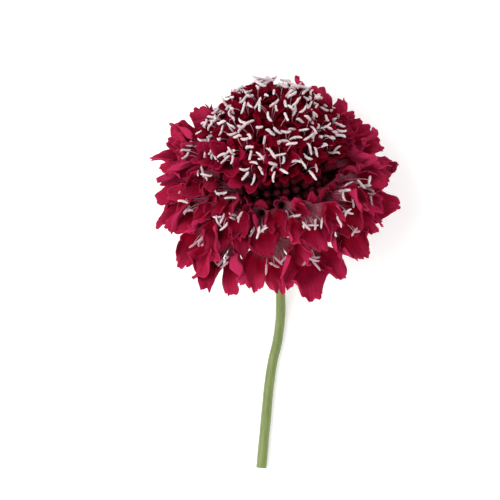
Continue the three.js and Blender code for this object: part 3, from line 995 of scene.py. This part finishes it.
def add_bud(shape, foot, tip, girth, rng):
    """A closed floret: a thin stalk that swells into a round head of five folded lobes."""
    first, second = frame_along(tip - foot)
    turn = whole_turn(15)
    start = rng.uniform(*ANY_PHASE)
    rings = []
    for along, radius in BUD_PROFILE:
        fold = 1 - 0.11 * smooth((along - 0.6) / 0.3) * (0.5 + 0.5 * np.cos(5 * turn + start)) ** 3
        size = radius * girth if along > 0.5 else radius
        rings.append(ring_about(mix(foot, tip, along), first, second, size * fold, turn))
    shape.add_tube(rings, [along for along, _ in BUD_PROFILE])


def make_buds(material):
    rng = random.Random("buds")

    def stand(shape, azimuth, radius, height, girth):
        out = outward(azimuth)
        foot_height = 6.2 + (height - 8.0) * 0.8
        foot = out * (receptacle_radius(foot_height) + 0.1) + UP * foot_height
        tip = out * (radius + rng.uniform(-0.4, 0.4)) + UP * (height + 0.5 + rng.uniform(-0.4, 0.4))
        add_bud(shape, foot, tip, girth * rng.uniform(0.88, 1.1), rng)

    def finish(name, shape):
        shape.move(HEAD)
        piece(name, shape, material, ["bud_ring"])

    for name, count, radius, height, girth, shift, arc in BUD_ROWS:
        shape = Shape()
        for k in range(count):
            azimuth = (k + shift + rng.uniform(-0.22, 0.22)) / count * ROUND
            if cos(azimuth) > cos(radians(arc)) - 1e-6:
                stand(shape, azimuth, radius, height, girth)
        finish(name, shape)
    shape = Shape()
    for azimuth, radius, height in GAP_BUDS:
        stand(shape, radians(azimuth), radius, height, GAP_BUD_GIRTH)
    finish("buds_gaps", shape)


def make_receptacle(material):
    """The core, with rows of small chaff bumps."""
    r = RECEPTACLE
    turn = whole_turn(64)
    steps = 30
    insets = (0.25, 0.7, 0.95)
    rings = [level_ring(r["base_radius"] * inset, turn, 0.12 * (1 - inset)) for inset in insets]
    heights = [0 for _ in insets]
    start = acos(r["base_radius"] / r["radius"])
    for k in range(steps + 1):
        u = -start + (start + pi / 2 - 0.05) * k / steps
        half = r["middle"] / sin(start) if u < 0 else r["height"] - r["middle"]
        radius = r["radius"] * cos(u) - (0.15 if k == 0 else 0)
        if 0.15 < k / steps < 0.97:
            radius = radius + 0.12 * np.sin(turn * 16 + (k % 2) * pi) * sin(k * pi / 2 + 0.5)
        rings.append(level_ring(radius, turn, r["middle"] + half * sin(u)))
        heights.append(k / steps)
    shape = Shape()
    shape.add_tube(rings, heights)
    shape.move(HEAD)
    piece("receptacle_core", shape, material, ["receptacle"])


def make_bracts(material):
    """Narrow hairy bracts, channelled along the middle."""
    t = np.linspace(0, 1, 23)[:, None]
    s = np.linspace(-1, 1, 11)[None, :]
    width = mix(0.75, 1.5, smooth(t / 0.4)) * (1 - t**2.4) ** 0.8 + 0.02
    droop = radians(12)
    marks = grid_marks(0.5 + 0.5 * s, t)
    for k in range(8):
        name = f"bract_{k + 1:02d}"
        rng = random.Random(f"bract{k}")
        length = 12.4 * rng.uniform(0.92, 1.04)
        bend = rng.uniform(-0.1, 0.25)
        x = s * width + 0.5 * rng.uniform(-1, 1) * t**2
        y = -3.3 - length * t * cos(droop) + 0 * s
        z = -0.55 - length * t * sin(droop) - bend * t**2 + 0.28 * s**2 * (1 - t)
        z = z + 0.1 * np.sin(t * 9 + k) * s**2
        sheet = Shape()
        sheet.add_faces([sheet.add_points(*row) for row in zip(np.stack([x, y, z], -1), marks)])
        sheet.move(HEAD @ Matrix.Rotation((k + 0.5) * pi / 4, 4, "Z"))
        piece(name + "_leaf", thickened(sheet, BRACT_THICKNESS), material, [name])


def curve_through(points, per_span):
    """A smooth curve through points, centripetal like the CAD model's."""
    p = [2 * points[0] - points[1], *points, 2 * points[-1] - points[-2]]
    found = []
    for k in range(1, len(p) - 2):
        p0, p1, p2, p3 = p[k - 1:k + 3]
        d1, d2, d3 = (np.linalg.norm(b - a) ** 0.5 for a, b in ((p0, p1), (p1, p2), (p2, p3)))
        m1 = ((p1 - p0) / d1 - (p2 - p0) / (d1 + d2) + (p2 - p1) / d2) * d2
        m2 = ((p2 - p1) / d2 - (p3 - p1) / (d2 + d3) + (p3 - p2) / d3) * d2
        for j in range(per_span):
            t = j / per_span
            near_start = (2 * t**3 - 3 * t**2 + 1) * p1 + (t**3 - 2 * t**2 + t) * m1
            near_end = (3 * t**2 - 2 * t**3) * p2 + (t**3 - t**2) * m2
            found.append(near_start + near_end)
    found.append(p[-2])
    return np.array(found)


def make_stem(material):
    """Faintly ribbed, wider where it meets the head, and cut off straight."""
    route = [np.array(HEAD @ Vector((0, 0, height))) for height in (-SEAT_GAP, -NECK)]
    route += [np.array([HEAD_BASE.x + x, HEAD_BASE.y + y, z]) for x, y, z in STEM_ROUTE]
    line = curve_through(route, 16)
    tangents = np.gradient(line, axis=0)
    steps = np.linalg.norm(np.diff(line, axis=0), axis=1)
    travelled = np.concatenate([[0], np.cumsum(steps)])[:, None]
    share = travelled / travelled[-1]
    turn = whole_turn(32)
    radii = mix(1.05, 1.22, share) + 0.85 * np.maximum(0, 1 - travelled / 2.6) ** 1.5
    ribs = 1 + 0.018 * np.cos(turn * 8) + 0.01 * np.sin(turn * 3 + travelled * 0.25)
    radii = radii * ribs * (1 + 0.012 * np.sin(travelled * 0.7))
    first, _ = frame_along(tangents[0], (1, 0, 0))
    rings = rings_along(line, tangents, radii, turn, first)
    cut = rings[-1]
    rings += [mix(line[-1], cut, inset) + unit(tangents[-1]) * depth for inset, depth in CUT_PROFILE]
    heights = [*share[:, 0], *(1 for _ in CUT_PROFILE)]
    shape = Shape()
    shape.add_tube(rings, heights)
    piece("stem_stalk", shape, material, ["stem"])


# -------- the flower

# The ring petals' colours. The edge and back ones are partly the petal's own pinker colour and partly painted
# highlight; the dusk one is partly painted velvet sheen.
RING_COLOURS = {
    "body": (0.22, 0.0012, 0.013),
    "edge": (0.42, 0.021, 0.078),
    "throat": (0.62, 0.21, 0.30),
    "back": (0.45, 0.024, 0.088),
    "shade": (0.14, 0.0008, 0.008),
    "dusk_and_sheen": (0.14, 0.002, 0.017),
}
# Copies of the ring's petal colours: plain, darkened as painted shade, and lightened as painted light, chosen
# floret by floret.
RING_LIT_AND_SHADED_TONES = {"plain": (1, 1, 1), "shaded": (0.72, 0.65, 0.65), "light": (1.25, 1.6, 1.35)}
ring_petals = {}
for tone, shares in RING_LIT_AND_SHADED_TONES.items():
    colours = {key: tuple(c * share for c, share in zip(colour, shares)) for key, colour in RING_COLOURS.items()}
    ring_petals[tone] = petal_material("ring_petal_" + tone, **colours)
# The pincushion's petals, with the same shares of painted highlight and painted sheen as the ring's.
rim_petal = petal_material(
    "rim_petal",
    body=(0.15, 0.0008, 0.009), edge=(0.32, 0.010, 0.048), throat=(0.18, 0.05, 0.07),
    back=(0.27, 0.006, 0.034), shade=(0.09, 0.0005, 0.005), dusk_and_sheen=(0.10, 0.0015, 0.012),
)
dome_petal = petal_material(
    "dome_petal",
    body=(0.12, 0.0004, 0.005), edge=(0.21, 0.0015, 0.016), throat=(0.11, 0.009, 0.022),
    back=(0.16, 0.0008, 0.011), shade=(0.055, 0.0002, 0.0025), dusk_and_sheen=(0.075, 0.0006, 0.006),
)

ring_stamen_shapes = Shape(), Shape()
fruit_skin = fruit_material()
for row in (OUTER_ROW, SECOND_ROW, INNER_ROW, FRONT_ROW):
    row_fruits = Shape()
    for index in row["places"]:
        large_floret(row, index, ring_petals, ring_stamen_shapes, row_fruits)
    piece(row["name"] + "_fruits", row_fruits, fruit_skin)
dome_stamen_shapes = Shape(), Shape()
for index, place in enumerate(dome_places()):
    dome_floret(index, place, rim_petal if index in DOME_RIM else dome_petal, dome_stamen_shapes)

thread_skin = filament_material()
anther_skin = anther_material()
for name, (threads, anthers) in (("ring", ring_stamen_shapes), ("dome", dome_stamen_shapes)):
    piece(name + "_filaments", threads, thread_skin)
    piece(name + "_anthers", anthers, anther_skin)

make_buds(bud_material())
make_receptacle(receptacle_material())
make_bracts(bract_material())
make_stem(stem_material())


# -------- floor, light and camera

# These are in metres.
FLOOR_RADII = (0.02, 0.3, 0.6)
FLOOR_FLAT = 0.9
FLOOR_BEND = 0.5
WALL_TOP = 1.7
LIGHT_TARGET = Vector((0, 0.01, 0.02))

# The camera's height and a picture point's size on the flower, in mm, and where the head's base shows, in points.
CAMERA_HEIGHT = 650.0
POINT_SIZE = 0.235
BASE_ACROSS = 277
BASE_DOWN = 208
HALF_PICTURE = 250


def make_floor():
    """A round floor that curves up into a wall, so no view of the flower meets an edge."""
    profile = [(radius, 0.0) for radius in FLOOR_RADII]
    for k in range(13):
        turn = pi / 2 * k / 12
        profile.append((FLOOR_FLAT + FLOOR_BEND * sin(turn), FLOOR_BEND * (1 - cos(turn))))
    profile.append((FLOOR_FLAT + FLOOR_BEND, WALL_TOP))
    sides = 96
    points = []
    for radius, height in profile:
        points += [(radius * cos(turn), radius * sin(turn), height) for turn in whole_turn(sides)]
    faces = [tuple(range(sides))]
    for low in range(0, len(points) - sides, sides):
        for k in range(sides):
            ahead = (k + 1) % sides
            faces.append((low + k, low + sides + k, low + sides + ahead, low + ahead))
    mesh_object("floor", points, faces, floor_material())


def make_light(name, place, size, energy):
    light = bpy.data.lights.new(name, "AREA")
    light.shape = "DISK"
    light.size = size
    light.energy = energy
    lamp = bpy.data.objects.new(name, light)
    lamp.location = place
    lamp.rotation_euler = (LIGHT_TARGET - Vector(place)).to_track_quat("-Z", "Y").to_euler()
    bpy.context.scene.collection.objects.link(lamp)


def make_world(strength):
    world = bpy.data.worlds.new("studio")
    world.use_nodes = True
    background = world.node_tree.nodes["Background"]
    background.inputs["Color"].default_value = (1, 1, 1, 1)
    background.inputs["Strength"].default_value = strength
    bpy.context.scene.world = world


def make_camera():
    """Straight above the flower, with a long lens."""
    camera = bpy.data.cameras.new("camera")
    camera.sensor_width = 36
    camera.lens = (CAMERA_HEIGHT - HEAD_BASE.z) / POINT_SIZE * camera.sensor_width / (2 * HALF_PICTURE)
    camera.clip_end = 20
    seen = bpy.data.objects.new("camera", camera)
    x = HEAD_BASE.x - (BASE_ACROSS - HALF_PICTURE) * POINT_SIZE
    y = HEAD_BASE.y - (HALF_PICTURE - BASE_DOWN) * POINT_SIZE
    seen.location = (x * MM, y * MM, CAMERA_HEIGHT * MM)
    bpy.context.scene.collection.objects.link(seen)
    bpy.context.scene.camera = seen


make_floor()
make_world(0.42)
make_light("key_light", (-0.55, 0.05, 0.8), 0.8, 6.4)
make_light("fill_light", (0.0, -0.9, 0.5), 0.6, 2.2)
make_camera()
bpy.context.scene.view_settings.view_transform = "Standard"
